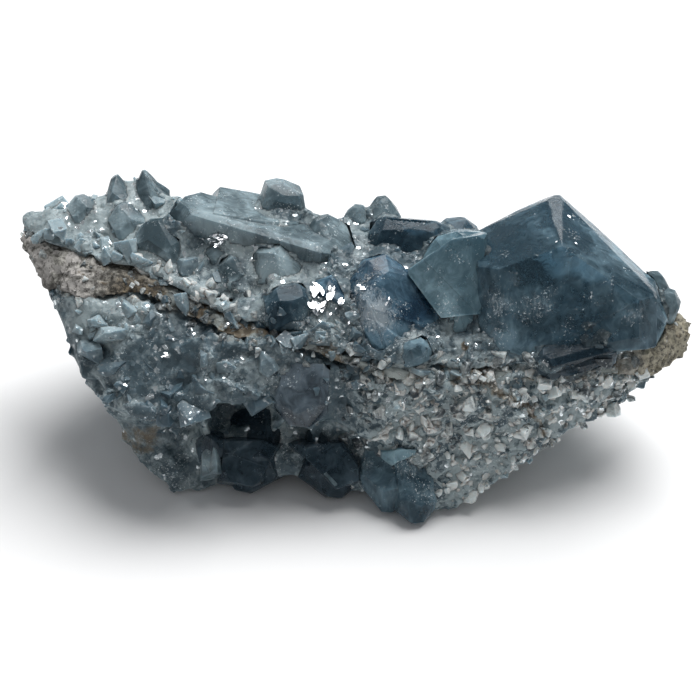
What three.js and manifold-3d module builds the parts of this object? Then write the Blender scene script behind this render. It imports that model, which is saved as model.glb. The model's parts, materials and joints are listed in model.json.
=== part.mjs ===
// A hand-sized cluster of celestite: a broken piece of a geode's wall, in millimetres, +Z up.
// A thin seam of host rock runs through it, with a bed of massive celestite grown on each side, and
// blocky crystals with chisel-shaped tips stand out of both beds. It lies on a small flat spot under
// its lower bed. The origin is under the middle of its bounding box, on the surface it lies on.
import * as THREE from "three";
import { ConvexGeometry } from "three/addons/geometries/ConvexGeometry.js";
import { mergeVertices } from "three/addons/utils/BufferGeometryUtils.js";
import Module from "manifold-3d";

const wasm = await Module();
wasm.setup();

// Driving dimensions.
const gap = 0.3; // between neighbouring pieces
const stationStep = 6.5; // spacing of the body's cross-sections along X
const spanSteps = 2; // points on a cross-section between one rail and the next
const lumpHeight = 1.0; // how far the broken surface swells and dips
const lumpWidth = 10.0; // distance between two swells
const seamDip = 5.0; // degrees by which the rock seam falls towards the back
const bevel = 0.78; // a prism's corners are cut back to this share of its half width and thickness
const cornerFall = 0.8; // a tip's corner falls by this share of its two slopes' drops
const tipGaps = 2.4; // a socket is longer than its crystal by this many gaps, for the tip's steep slopes
const steepShare = 0.9; // an axis that runs along X by more than this share is measured from Z instead
const taperStations = 2; // cross-sections over which the lumps fade out at the two tips of the body
const mergeDistance = 1e-4; // corners nearer than this are one corner
const far = 200.0; // reaches past the specimen on every side

// The body's long edges, each a list of [x, y, z] from the left tip to the right tip. Front is -Y.
const rails = {
  foot: [[-71, 3, 45], [-65, -6.5, 39], [-60, -12, 31], [-56, -16, 21], [-51, -20, 12], [-45, -25, 4.5],
    [-37, -28, 0.6], [-28, -24, 1.2], [-18, -16, 4], [-6, -17, 4], [5, -24, 2.5], [14, -33, 0.9],
    [21, -33.5, 1.2], [31, -30.5, 6.5], [44, -25, 14], [55, -19, 18.5], [64, -14.5, 22.5], [72, -11, 28]],
  recess: [[-71, 3.2, 45.5], [-65, -7, 40], [-57, -18, 24], [-50, -22, 18], [-40, -20, 18], [-25, -13, 20],
    [-12, -14, 19], [-2, -21, 14], [12, -30, 9], [30, -29, 12], [45, -25, 16], [56, -19, 19.5], [65, -15, 24],
    [72, -11, 28.5]],
  shelf: [[-71, 3.4, 46.5], [-63, -9, 38], [-57, -20, 31], [-52, -27, 28], [-43, -31, 27], [-32, -30, 28],
    [-18, -26.5, 30], [-11, -25.5, 27], [-3, -27, 20], [10, -29, 17], [20, -28.5, 16], [31, -27.5, 18],
    [44, -25, 20], [55, -19.5, 22], [64, -16.5, 25.5], [72, -11, 29]],
  seam: [[-72, 5.2, 47.5], [-62, -8, 43], [-54, -10.5, 43], [-43, -11, 43.5], [-32, -18, 40.5],
    [-22, -21, 38], [-11, -22, 36.5], [-1, -24, 32], [9, -26, 30.5], [20, -25, 30], [31, -25, 29.5],
    [41, -25, 29], [52, -22, 29], [63, -17, 29.5], [72, -11.5, 31]],
  brow: [[-72, 6.2, 49], [-63, -1, 48.5], [-54, -3, 48.5], [-43, -5, 48], [-32, -12, 45], [-22, -16, 43],
    [-11, -18, 42], [-1, -20, 39.5], [9, -20, 38.5], [20, -19.5, 37], [31, -20, 37.5], [41, -20, 36],
    [52, -18.5, 35], [63, -13.5, 36], [72, -10.5, 33.5]],
  ridge: [[-72, 7.8, 50.5], [-64, 9, 52], [-54, 9, 50.5], [-44, 8, 48.5], [-33, 7, 46.5], [-22, 6, 46],
    [-11, 5, 46], [-1, 5, 46], [10, 5, 45.8], [21, 4, 44.5], [31, 2, 43], [42, 1, 42], [53, 1, 41],
    [64, -3, 39], [72, -9.6, 34.5]],
  backBrow: [[-72, 9.5, 49.5], [-63, 16, 45.5], [-50, 19, 40], [-34, 20, 35], [-12, 20, 34], [10, 20, 33.5],
    [32, 17, 31.5], [48, 12, 31], [62, 4, 31.5], [72, -7.8, 33]],
  back: [[-72, 10, 47.5], [-62, 19, 38], [-46, 28, 28], [-24, 33, 20], [8, 34, 17], [32, 29, 18],
    [50, 19, 22], [63, 6, 26], [72, -7.2, 30.8]],
  backFoot: [[-71.5, 8.5, 45.5], [-60, 13, 28], [-44, 21, 14], [-22, 24, 4.5], [8, 25, 4], [30, 21, 7],
    [50, 12, 16], [63, 2, 23.5], [72, -8, 28.5]],
  keel: [[-71, 6, 44.5], [-58, 1, 24], [-44, 1, 9], [-26, 2, -0.7], [0, 3, -1.2], [22, 2, -0.7], [42, -2, 8],
    [56, -4, 17], [65, -7, 22.5], [72, -9.5, 27.5]],
};

// The rock seam seen from the front: [x, lower z, upper z].
const seamBand = [[-76, 41, 48.5], [-66, 39.5, 47.5], [-60, 41, 47], [-52, 41.5, 46], [-43, 41.5, 45],
  [-32, 38.5, 41.5], [-22, 36.2, 38.6], [-11, 34.8, 37.4], [-1, 30.8, 33.6], [9, 28.6, 31.2], [20, 28, 30.4],
  [31, 28, 30.4], [41, 28, 30.6], [52, 27.4, 30.4], [58, 25.8, 31.4], [62, 23.6, 35.2], [67, 23, 37.5],
  [76, 23, 37.5]];

// Clusters of crystals that grew into each other. root and tip are the ends of a crystal's axis, and size is
// its [width, thickness]. drop is how far the tip's slopes fall at the [left, right, front, back], and top is
// the size of the flat at the very tip. skew is the share of the width and of the thickness by which the tip
// is off the axis, and turn is in degrees about the axis.
const clusters = {
  crest_crystals: [
    { root: [44.8, -9.5, 31], tip: [43.5, 1, 59], size: [37, 24], drop: [7, 17, 6.5, 9], top: [3, 4],
      skew: [-0.04, 0.1] },
    { root: [57.5, -8, 32], tip: [61, -6, 45], size: [13, 15], drop: [3, 5, 4, 5], top: [4, 3],
      turn: 12 },
  ],
  pale_broad_crystal: [
    { root: [26, -11.5, 33], tip: [19.5, -0.5, 51.5], size: [19, 12], drop: [6, 2.5, 4, 5], top: [5, 4],
      turn: -10 },
  ],
  deep_blue_crystal: [
    { root: [9.4, -13.2, 33.6], tip: [4, -5, 48.6], size: [17, 14], drop: [4, 7, 5, 5], top: [4, 4],
      turn: 18 },
  ],
  mirror_crystal: [
    { root: [-4.4, -12.5, 37.8], tip: [-6.5, -9.5, 46.6], size: [7.5, 8], drop: [2.5, 3, 2, 3],
      top: [3, 2], turn: -8 },
  ],
  dark_block_crystal: [
    { root: [-13.5, -12.5, 38], tip: [-13.5, -14.5, 46.5], size: [10.5, 9], drop: [1.5, 2.5, 2, 2],
      top: [5, 4], turn: 14 },
  ],
  round_pale_crystals: [
    { root: [-15.8, -4, 40], tip: [-18, -4.5, 51], size: [13, 12], drop: [4, 4.5, 4.5, 4], top: [4, 4],
      turn: -22 },
    { root: [-24.4, -6, 41.5], tip: [-27, -5, 48.5], size: [7, 8], drop: [2, 3, 3, 2], top: [2, 2],
      turn: 30 },
  ],
  blade_crystals: [
    { root: [-5, -2, 47.5], tip: [-38.6, 5.8, 54], size: [10, 6], drop: [1, 1.2, 0.8, 0.8], top: [7, 4],
      turn: 98 },
    { root: [-14.5, 6, 43], tip: [-16.5, 10.5, 57.5], size: [9, 9], drop: [3, 1.5, 2, 3], top: [5, 4],
      turn: 12 },
    { root: [-5, 0, 40], tip: [-7, 4.5, 52.3], size: [11, 12], drop: [3, 3, 5, 3], top: [3, 3], turn: 9 },
  ],
  glint_crystal: [
    { root: [-28.6, -2.5, 43], tip: [-29.4, -1.6, 50], size: [5.4, 5], drop: [1.5, 1.2, 1.5, 1.5],
      top: [2, 2], turn: 35 },
  ],
  left_peak_crystals: [
    { root: [-43.5, 9, 44], tip: [-45.5, 14.5, 57.6], size: [10.5, 9.5], drop: [7, 8, 6, 6], top: [1, 1],
      turn: 14 },
    { root: [-50, 9, 45], tip: [-52, 14, 56.6], size: [6, 6.5], drop: [4.5, 4, 3, 3], top: [1, 1],
      turn: -12 },
    { root: [-47.5, 3, 44], tip: [-50, 7, 54], size: [7.5, 7.5], drop: [2.5, 3, 3, 3], top: [2, 2],
      turn: 26 },
    { root: [-40, -3, 41], tip: [-42.5, 1.5, 53.6], size: [10, 8], drop: [2, 4.5, 3, 3], top: [3, 2],
      turn: -24 },
  ],
  left_end_crystal: [
    { root: [-58, 7, 46], tip: [-59.5, 10, 54], size: [6.5, 6], drop: [2, 2, 2.2, 2], top: [2, 2],
      turn: 32 },
  ],
  skyline_round_crystal: [
    { root: [6.3, 7, 42], tip: [6, 10.5, 53.2], size: [6.4, 6.6], drop: [2.8, 2.6, 2.4, 2.4], top: [2, 2],
      turn: 20 },
  ],
  skyline_small_crystal: [
    { root: [0.8, 7, 42], tip: [0.6, 9.5, 51.6], size: [5, 5], drop: [1.4, 1.6, 1.4, 1.4], top: [2, 2],
      turn: -25 },
  ],
  layered_block_crystal: [
    { root: [11, -1, 41], tip: [12, 5.5, 51], size: [17, 9], drop: [1.5, 1, 2, 2], top: [11, 5],
      turn: -4 },
  ],
  right_skyline_crystal: [
    { root: [22.5, 5, 41], tip: [22, 8, 49.2], size: [9, 7.5], drop: [1.5, 2, 2, 2], top: [4, 3],
      turn: 8 },
  ],
  right_tip_crystals: [
    { root: [63.5, -5, 34.5], tip: [64.3, -3.5, 43.2], size: [6, 6], drop: [1.8, 2, 1.8, 2], top: [2, 2],
      turn: 18 },
    { root: [66, -7.5, 35], tip: [67.4, -7, 41], size: [5.4, 5], drop: [1.4, 1.6, 1.2, 1.4],
      top: [1.6, 2], turn: -14 },
  ],
  seam_bead_crystal: [
    { root: [12.5, -18.5, 34.2], tip: [12.8, -23, 37.6], size: [6.4, 5], drop: [2, 1.8, 1.5, 1.5],
      top: [2, 2], turn: 22 },
  ],
  seam_blade_crystal: [
    { root: [54, -17.4, 34.6], tip: [38, -22.6, 33.6], size: [5.6, 6], drop: [1.5, 1.5, 1.2, 1.2],
      top: [2, 2], turn: 80 },
  ],
  hanging_crystal: [
    { root: [-10.2, -19, 31], tip: [-11.6, -28, 21.5], size: [11, 9], drop: [3, 3.5, 2.4, 2.4],
      top: [4, 3], turn: 6 },
  ],
  lower_left_crystals: [
    { root: [-19, -8, 17], tip: [-24.5, -27.5, 1.6], size: [15, 14], drop: [5, 4, 4, 5], top: [3, 2],
      turn: 24 },
    { root: [-30.5, -20, 3], tip: [-31, -27.5, 17.5], size: [6.5, 6], drop: [5, 4, 3, 3], top: [1, 1],
      turn: 12 },
  ],
  lower_middle_crystal: [
    { root: [-3, -9, 16], tip: [-4.6, -29, 1.2], size: [17, 13], drop: [3.5, 6, 5, 4], top: [3, 2],
      turn: -24 },
  ],
  lower_right_crystals: [
    { root: [9, -16, 16], tip: [7, -33, 0.8], size: [12, 11], drop: [5, 3, 4, 4], top: [2, 2], turn: 12 },
    { root: [11, -24, 12], tip: [13.5, -36.4, 1], size: [8, 8], drop: [3, 2, 2, 3], top: [2, 2],
      turn: -18 },
  ],
  back_left_crystals: [
    { root: [-40, 14, 29], tip: [-46, 27.5, 31.5], size: [13, 12], drop: [4, 3, 3, 4], top: [4, 3],
      turn: 15 },
    { root: [-33, 15, 26], tip: [-35, 30.5, 27.5], size: [11, 10], drop: [3, 3, 3, 3], top: [2, 2],
      turn: -20 },
  ],
  back_left_end_crystal: [
    { root: [-52, 11, 32], tip: [-58, 19.5, 36.5], size: [8, 8], drop: [3, 2, 3, 2], top: [2, 2],
      turn: 30 },
  ],
  back_middle_crystals: [
    { root: [-9, 18, 20], tip: [-12, 35, 22.5], size: [17, 15], drop: [4, 5, 4, 4], top: [5, 4],
      turn: 10 },
    { root: [1, 18, 22], tip: [3.5, 32.5, 26], size: [12, 11], drop: [3, 4, 3, 3], top: [3, 2],
      turn: -25 },
  ],
  back_right_crystals: [
    { root: [24, 13, 22], tip: [27.5, 29.5, 24.5], size: [15, 13], drop: [3, 4, 4, 3], top: [4, 4],
      turn: -14 },
    { root: [34, 11, 23], tip: [40, 24.5, 26.5], size: [11, 10], drop: [3, 3, 3, 3], top: [2, 2],
      turn: 25 },
  ],
  back_lower_crystal: [
    { root: [8, 18, 10], tip: [10, 33.5, 7.5], size: [13, 10], drop: [4, 4, 3, 3], top: [3, 3],
      turn: 20 },
  ],
  back_foot_crystal: [
    { root: [-26, 16, 11], tip: [-30, 29, 9.5], size: [11, 10], drop: [3, 3, 3, 3], top: [3, 2],
      turn: -16 },
  ],
  back_ridge_crystal: [
    { root: [-24, 11, 37], tip: [-25.5, 20, 42.5], size: [9, 8], drop: [3, 2, 2, 3], top: [2, 2],
      turn: 28 },
  ],
  back_brow_crystal: [
    { root: [32, 6, 34], tip: [34, 16, 38], size: [10, 8], drop: [2, 3, 2, 2], top: [2, 2], turn: -20 },
  ],
};

const paleClusters = new Set([
  "pale_broad_crystal", "round_pale_crystals", "glint_crystal", "left_peak_crystals", "left_end_crystal",
  "skyline_round_crystal", "skyline_small_crystal", "right_tip_crystals", "hanging_crystal",
]);

// Finishes: [colour, roughness].
const slateBlue = [0x4c6579, 0.2];
const paleBlue = [0x9fb4bf, 0.3];
const bedGrey = [0x9aa5a6, 0.6];
const rockBrown = [0x7b6f5a, 0.95];

// A closed three.js geometry as a manifold solid.
function solidOf(geometry) {
  const bare = geometry.index ? geometry.toNonIndexed() : geometry.clone();
  bare.deleteAttribute("normal");
  bare.deleteAttribute("uv");
  const merged = mergeVertices(bare, mergeDistance);
  return new wasm.Manifold(new wasm.Mesh({
    numProp: 3,
    vertProperties: merged.attributes.position.array,
    triVerts: new Uint32Array(merged.index.array),
  }));
}

// A manifold solid as a named mesh.
function meshOf(name, solid, [color, roughness]) {
  const { vertProperties, triVerts, numProp } = solid.getMesh();
  const positions = new Float32Array((vertProperties.length / numProp) * 3);
  for (let i = 0; i < positions.length / 3; i++)
    positions.set(vertProperties.subarray(i * numProp, i * numProp + 3), i * 3);
  const geometry = new THREE.BufferGeometry();
  geometry.setAttribute("position", new THREE.BufferAttribute(positions, 3));
  geometry.setIndex(new THREE.BufferAttribute(triVerts, 1));
  geometry.computeVertexNormals();
  const mesh = new THREE.Mesh(geometry, new THREE.MeshStandardMaterial({ color, roughness, metalness: 0 }));
  mesh.name = name;
  return mesh;
}

// A solid's separate bodies, the largest first: the splinters that a cut can leave come last.
function bodiesOf(solid) {
  return solid.decompose().sort((one, other) => other.volume() - one.volume());
}

// Values of a rail's points at x, on a smooth curve through them.
function alongRail(points, x) {
  const last = points.length - 1;
  const at = THREE.MathUtils.clamp(x, points[0][0], points[last][0]);
  const i = Math.min(last - 1, points.findLastIndex((p) => p[0] <= at));
  const [from, to] = [points[i], points[i + 1]];
  const before = points[Math.max(0, i - 1)];
  const after = points[Math.min(last, i + 2)];
  const run = to[0] - from[0];
  const t = (at - from[0]) / run;
  const [t2, t3] = [t * t, t * t * t];
  return [1, 2].map((axis) => {
    const slopeFrom = (to[axis] - before[axis]) / (to[0] - before[0]);
    const slopeTo = (after[axis] - from[axis]) / (after[0] - from[0]);
    return from[axis] * (2 * t3 - 3 * t2 + 1) + slopeFrom * run * (t3 - 2 * t2 + t)
      + to[axis] * (3 * t2 - 2 * t3) + slopeTo * run * (t3 - t2);
  });
}

// A smooth, repeatable swell between -1 and 1 for a place on the surface. The odd factors keep the waves
// from lining up.
function swell(x, y, z) {
  const [a, b, c] = [x, y, z].map((value) => (value * 2 * Math.PI) / lumpWidth);
  return (Math.sin(a + 1.7 * Math.sin(b * 0.61)) + Math.sin(b * 0.83 + 1.3 * Math.sin(c * 0.57))
    + Math.sin(c * 0.91 + 1.9 * Math.sin(a * 0.49))) / 3;
}

// One cross-section of the body at station s, as a closed ring of points through the rails.
function bodyRing(s, stations) {
  const lines = Object.values(rails);
  const [[xFirst], [xLast]] = [rails.seam[0], rails.seam.at(-1)];
  const x = xFirst + ((xLast - xFirst) * s) / stations;
  const fade = Math.min(1, s / taperStations, (stations - s) / taperStations);
  const corners = lines.map((line) => new THREE.Vector2(...alongRail(line, x)));
  const middle = corners.reduce((sum, corner) => sum.add(corner), new THREE.Vector2());
  middle.divideScalar(corners.length);
  return corners.flatMap((corner, i) => {
    const next = corners[(i + 1) % corners.length];
    return Array.from({ length: spanSteps }, (_, k) => {
      const at = corner.clone().lerp(next, k / spanSteps);
      const out = at.clone().sub(middle).normalize();
      at.addScaledVector(out, lumpHeight * fade * swell(x, at.x, at.y));
      return new THREE.Vector3(x, at.x, at.y);
    });
  });
}

// The whole broken body: the cross-sections joined from tip to tip.
function bodySolid() {
  const stations = Math.round((rails.seam.at(-1)[0] - rails.seam[0][0]) / stationStep);
  const rings = Array.from({ length: stations + 1 }, (_, s) => bodyRing(s, stations));
  const points = [];
  const triangle = (...corners) => corners.forEach((corner) => points.push(...corner.toArray()));
  for (let s = 0; s < stations; s++)
    rings[s].forEach((near, i) => {
      const j = (i + 1) % rings[s].length;
      triangle(near, rings[s + 1][j], rings[s][j]);
      triangle(near, rings[s + 1][i], rings[s + 1][j]);
    });
  for (const [ring, turned] of [[rings[0], false], [rings[stations], true]]) {
    const centre = ring.reduce((sum, p) => sum.add(p), new THREE.Vector3()).divideScalar(ring.length);
    ring.forEach((corner, i) => {
      const next = ring[(i + 1) % ring.length];
      triangle(centre, turned ? next : corner, turned ? corner : next);
    });
  }
  const geometry = new THREE.BufferGeometry();
  geometry.setAttribute("position", new THREE.BufferAttribute(new Float32Array(points), 3));
  return solidOf(geometry);
}

// A slab that runs right through the body from front to back, with its outline given in the XZ plane.
function throughSlab(outline) {
  const shape = new THREE.Shape(outline.map(([x, z]) => new THREE.Vector2(x, z)));
  const geometry = new THREE.ExtrudeGeometry(shape, { depth: far, bevelEnabled: false });
  geometry.translate(0, 0, -far / 2);
  geometry.rotateX(Math.PI / 2 - THREE.MathUtils.degToRad(seamDip));
  return solidOf(geometry);
}

// The corners of one crystal, larger by grow on every side.
function crystalCorners({ root, tip, size, drop, top, skew = [0, 0], turn = 0 }, grow) {
  const axis = new THREE.Vector3(...tip).sub(new THREE.Vector3(...root));
  const length = axis.length() + tipGaps * grow;
  const up = axis.normalize();
  const from = new THREE.Vector3(...root).addScaledVector(up, -grow);
  const sideways = new THREE.Vector3(1, 0, 0);
  if (Math.abs(up.x) > steepShare) sideways.set(0, 0, 1);
  const across = sideways.addScaledVector(up, -sideways.dot(up)).normalize();
  across.applyAxisAngle(up, THREE.MathUtils.degToRad(turn));
  const deep = new THREE.Vector3().crossVectors(up, across);
  const [wide, thick] = [size[0] / 2 + grow, size[1] / 2 + grow];
  const [offWide, offThick] = [skew[0] * size[0], skew[1] * size[1]];
  const [left, right, front, back] = drop;
  const places = [];
  for (const [side, fall] of [[-1, left], [1, right]]) {
    places.push([side * wide, offThick, length - fall]);
    for (const [face, faceFall] of [[-1, front], [1, back]]) {
      const low = length - cornerFall * (fall + faceFall);
      for (const height of [0, low]) {
        places.push([side * wide, face * thick * bevel, height]);
        places.push([side * wide * bevel, face * thick, height]);
      }
      places.push([offWide + (side * top[0]) / 2, offThick + (face * top[1]) / 2, length]);
    }
  }
  for (const [face, fall] of [[-1, front], [1, back]]) places.push([offWide, face * thick, length - fall]);
  return places.map(([x, y, z]) => from.clone()
    .addScaledVector(across, x)
    .addScaledVector(deep, y)
    .addScaledVector(up, z));
}

// Crystals that grew into each other, joined.
function clusterSolid(specs, grow) {
  return specs.map((spec) => solidOf(new ConvexGeometry(crystalCorners(spec, grow))))
    .reduce((joined, solid) => joined.add(solid));
}

const aboveGround = solidOf(new THREE.BoxGeometry(far, far, far).translate(0, 0, far / 2));
const specimen = new THREE.Group();

// Each cluster is cut back from those before it, and leaves its socket in the beds and the rock.
let sockets = null;
for (const [name, specs] of Object.entries(clusters)) {
  const whole = clusterSolid(specs, 0).intersect(aboveGround);
  const socket = clusterSolid(specs, gap);
  const [solid] = bodiesOf(sockets ? whole.subtract(sockets) : whole);
  sockets = sockets ? sockets.add(socket) : socket;
  specimen.add(meshOf(name, solid, paleClusters.has(name) ? paleBlue : slateBlue));
}

// The seam's two surfaces are lines in the XZ plane, and the beds begin one gap away from them.
const edge = (column, raise) => seamBand.map((row) => [row[0], row[column] + raise]);
const [left, right] = [seamBand[0][0], seamBand.at(-1)[0]];
const seamRegion = [...edge(1, 0), ...edge(2, 0).reverse()];
const overSeam = [...edge(2, gap), [right, far / 2], [left, far / 2]];
const underSeam = [[left, -far / 2], [right, -far / 2], ...edge(1, -gap).reverse()];

const body = bodySolid().intersect(aboveGround).subtract(sockets);
for (const [name, outline, finish] of [
  ["host_rock_seam", seamRegion, rockBrown],
  ["upper_crystal_bed", overSeam, bedGrey],
  ["lower_crystal_bed", underSeam, bedGrey],
]) {
  const [solid] = bodiesOf(body.intersect(throughSlab(outline)));
  specimen.add(meshOf(name, solid, finish));
}

const bounds = new THREE.Box3().setFromObject(specimen);
const middle = bounds.getCenter(new THREE.Vector3());
specimen.position.set(-middle.x, -middle.y, -bounds.min.z);

export default specimen;
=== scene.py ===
# A hand-sized cluster of celestite on a pale table: crystals on a broken piece of a geode's wall.
# Lengths are in millimetres where a name ends in _mm or a value is multiplied by mm, and in metres elsewhere.
import json
import math
import random

import bmesh
import bpy
from mathutils import Matrix, Vector

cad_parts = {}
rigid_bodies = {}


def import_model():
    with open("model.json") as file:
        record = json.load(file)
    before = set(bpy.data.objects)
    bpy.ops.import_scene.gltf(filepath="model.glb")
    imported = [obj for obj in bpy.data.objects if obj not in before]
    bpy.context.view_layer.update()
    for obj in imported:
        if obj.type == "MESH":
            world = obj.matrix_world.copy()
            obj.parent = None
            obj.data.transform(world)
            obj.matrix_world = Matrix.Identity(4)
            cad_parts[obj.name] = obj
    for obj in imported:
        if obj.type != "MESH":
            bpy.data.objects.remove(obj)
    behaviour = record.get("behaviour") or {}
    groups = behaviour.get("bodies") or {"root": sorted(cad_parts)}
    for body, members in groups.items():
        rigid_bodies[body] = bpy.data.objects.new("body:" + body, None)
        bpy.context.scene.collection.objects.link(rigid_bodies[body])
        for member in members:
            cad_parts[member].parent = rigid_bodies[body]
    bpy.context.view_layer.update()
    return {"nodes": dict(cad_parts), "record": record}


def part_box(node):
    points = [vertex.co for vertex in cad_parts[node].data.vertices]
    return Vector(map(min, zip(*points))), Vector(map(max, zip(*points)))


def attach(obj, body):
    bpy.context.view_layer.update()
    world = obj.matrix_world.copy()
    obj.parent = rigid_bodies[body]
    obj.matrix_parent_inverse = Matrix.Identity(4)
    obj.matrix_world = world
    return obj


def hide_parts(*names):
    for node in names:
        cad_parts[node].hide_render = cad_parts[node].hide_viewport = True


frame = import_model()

mm = 0.001
tolerance = 0.001 * mm
unit_tolerance = 0.00001  # for shapes that are made one unit long and then shrunk

# ---------------------------------------------------------------- camera

camera_elevation = math.radians(40)
camera_distance = 330 * mm
camera_target = Vector((-1.0, -19.2, 35.7)) * mm
camera_lens = 81.2
camera_sensor = 36.0

away = Vector((0, -math.cos(camera_elevation), math.sin(camera_elevation)))
upwards = Vector((0, math.sin(camera_elevation), math.cos(camera_elevation)))
bpy.ops.object.select_all(action="DESELECT")
bpy.ops.object.camera_add(
    location=camera_target + away * camera_distance,
    rotation=(math.pi / 2 - camera_elevation, 0, 0),
)
camera = bpy.context.object
camera.data.lens = camera_lens
camera.data.sensor_width = camera_sensor
camera.data.clip_start = 0.01
bpy.context.scene.camera = camera


# ---------------------------------------------------------------- node graphs

class Socket:
    """One output of a node. An expression on sockets adds Math nodes to their graph."""

    def __init__(self, graph, output):
        self.graph = graph
        self.output = output

    def math(self, operation, *values):
        return self.graph.add("ShaderNodeMath", {"operation": operation}, dict(enumerate(values)))

    def __add__(self, other):
        return self.math("ADD", self, other)

    __radd__ = __add__

    def __sub__(self, other):
        return self.math("SUBTRACT", self, other)

    def __rsub__(self, other):
        return self.math("SUBTRACT", other, self)

    def __mul__(self, other):
        return self.math("MULTIPLY", self, other)

    __rmul__ = __mul__

    def __truediv__(self, other):
        return self.math("DIVIDE", self, other)

    def __gt__(self, other):
        return self.math("GREATER_THAN", self, other)

    def __lt__(self, other):
        return self.math("LESS_THAN", self, other)

    def high(self, other):
        return self.math("MAXIMUM", self, other)

    def low(self, other):
        return self.math("MINIMUM", self, other)

    def ramp(self, start, end):
        """0 below start, 1 above end, and smooth between them."""
        return self.graph.add(
            "ShaderNodeMapRange",
            {"interpolation_type": "SMOOTHSTEP"},
            {"Value": self, "From Min": start, "From Max": end},
        )

    def part(self, name):
        """Another output of the same node."""
        return Socket(self.graph, self.output.node.outputs[name])


class Graph:
    """A node tree. add() makes a node of any type, with its settings first and then its inputs."""

    def __init__(self, tree):
        self.tree = tree

    def add(self, kind, settings=None, inputs=None):
        node = self.tree.nodes.new(kind)
        for key, value in (settings or {}).items():
            setattr(node, key, value)
        for key, value in (inputs or {}).items():
            if isinstance(value, Socket):
                self.tree.links.new(value.output, node.inputs[key])
            else:
                node.inputs[key].default_value = value
        return Socket(self, next((o for o in node.outputs if o.enabled), None))

    def vector(self, operation, *values, **inputs):
        return self.add("ShaderNodeVectorMath", {"operation": operation}, dict(enumerate(values)) | inputs)

    def mix(self, share, first, second):
        """A mix of two colours."""
        return self.add("ShaderNodeMix", {"data_type": "RGBA"}, {0: share, 6: first, 7: second})

    def noise(self, place, size, detail=3.0, roughness=0.55, twist=0.0):
        """Cloudy noise from 0 to 1, with lumps of about that size."""
        look = {"Detail": detail, "Roughness": roughness, "Distortion": twist}
        return self.add("ShaderNodeTexNoise", None, {"Vector": place, "Scale": 1 / size} | look)

    def cells(self, place, size, **settings):
        """Irregular cells of about that size."""
        return self.add("ShaderNodeTexVoronoi", settings, {"Vector": place, "Scale": 1 / size})

    def split(self, place):
        """The three coordinates of a place."""
        x = self.add("ShaderNodeSeparateXYZ", None, {0: place})
        return x, x.part("Y"), x.part("Z")

    def red(self, colour):
        """How red a colour is, which is a random number where the colour is a cell's."""
        return self.add("ShaderNodeSeparateColor", None, {0: colour})

    def bump(self, height, strength, distance):
        inputs = {"Height": height, "Strength": strength, "Distance": distance}
        return self.add("ShaderNodeBump", None, inputs)

    def surface(self, inputs):
        """A shader with those inputs."""
        return self.add("ShaderNodeBsdfPrincipled", None, inputs)


def rgb(red, green, blue):
    """A colour with its alpha, from its three linear values."""
    return (red, green, blue, 1.0)


# ---------------------------------------------------------------- broken surfaces

middle_grey = (0.5, 0.5, 0.5)


def warped(graph, place, reach, stretch=(1.0, 1.0, 1.0)):
    """The place pushed about by up to half that reach, so that cells on it are uneven, and then stretched."""
    push = graph.vector("SUBTRACT", graph.noise(place, reach * 2, 2).part("Color"), middle_grey)
    place = graph.vector("ADD", place, graph.vector("SCALE", push, Scale=reach))
    return graph.vector("MULTIPLY", place, stretch)


def tilted_cells(graph, place, size, step, tilt):
    """The height in millimetres of a surface broken into small flats, each at its own height and slope."""
    cells = graph.cells(place, size)
    colour = graph.vector("SUBTRACT", cells.part("Color"), middle_grey)
    across = graph.vector("SUBTRACT", place, cells.part("Position"))
    slope = graph.vector("DOT_PRODUCT", across, colour).part("Value")
    return graph.split(colour)[0] * step + slope * tilt


def facets(graph, place, size, step, tilt, strength):
    """The normal of a surface broken into flats too small to model. size and step are in millimetres."""
    place = graph.vector("SCALE", place, Scale=1 / mm)
    return graph.bump(tilted_cells(graph, warped(graph, place, size), size, step, tilt), strength, mm)


# ---------------------------------------------------------------- materials

white_fleck = rgb(0.72, 0.78, 0.8)
celestite_ior = 1.62
# What all milky celestite has in common.
glow = {"IOR": celestite_ior, "Specular IOR Level": 0.11, "Subsurface Radius": (0.85, 1.0, 1.1)}


def new_material(name):
    """An empty material, its graph, and its Object coordinates."""
    material = bpy.data.materials.new(name)
    material.use_nodes = True
    material.node_tree.nodes.clear()
    graph = Graph(material.node_tree)
    place = graph.add("ShaderNodeTexCoord").part("Object")
    return material, graph, place


def finish_material(graph, surface, **volume):
    graph.add("ShaderNodeOutputMaterial", None, {"Surface": surface} | volume)


def attribute(graph, name):
    """A number kept in the mesh under that name."""
    return graph.add("ShaderNodeAttribute", {"attribute_name": name}).part("Fac")


def glints(graph, place, size, least):
    """1 on some small cells, in patches, and 0 elsewhere. Fewer cells glint for a higher least."""
    bright = graph.red(graph.cells(place, size).part("Color")) > least
    return bright * graph.noise(place, 5 * mm, 3).ramp(0.45, 0.6)


def feathers(graph, place, size):
    """Streaky noise from 0 to 1 for fractures that branch like feathers."""
    return graph.noise(graph.vector("MULTIPLY", place, (1.5, 1.0, 0.7)), size, 7, 0.72, 2.0)


def sugar_and_sparkle(graph, place, patchiness):
    """Clusters of fine white flecks, from 0 to 1: crushed white bits, and partly painted sparkle in place of
    tiny glints. The clusters cover more for a higher patchiness.
    """
    flecks = graph.noise(place, 0.5 * mm, 4, 0.7).ramp(0.56, 0.66)
    return flecks * (graph.noise(place, 4.5 * mm, 4, 0.6, 0.5) + patchiness * 0.3).ramp(0.66, 0.76)


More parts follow.
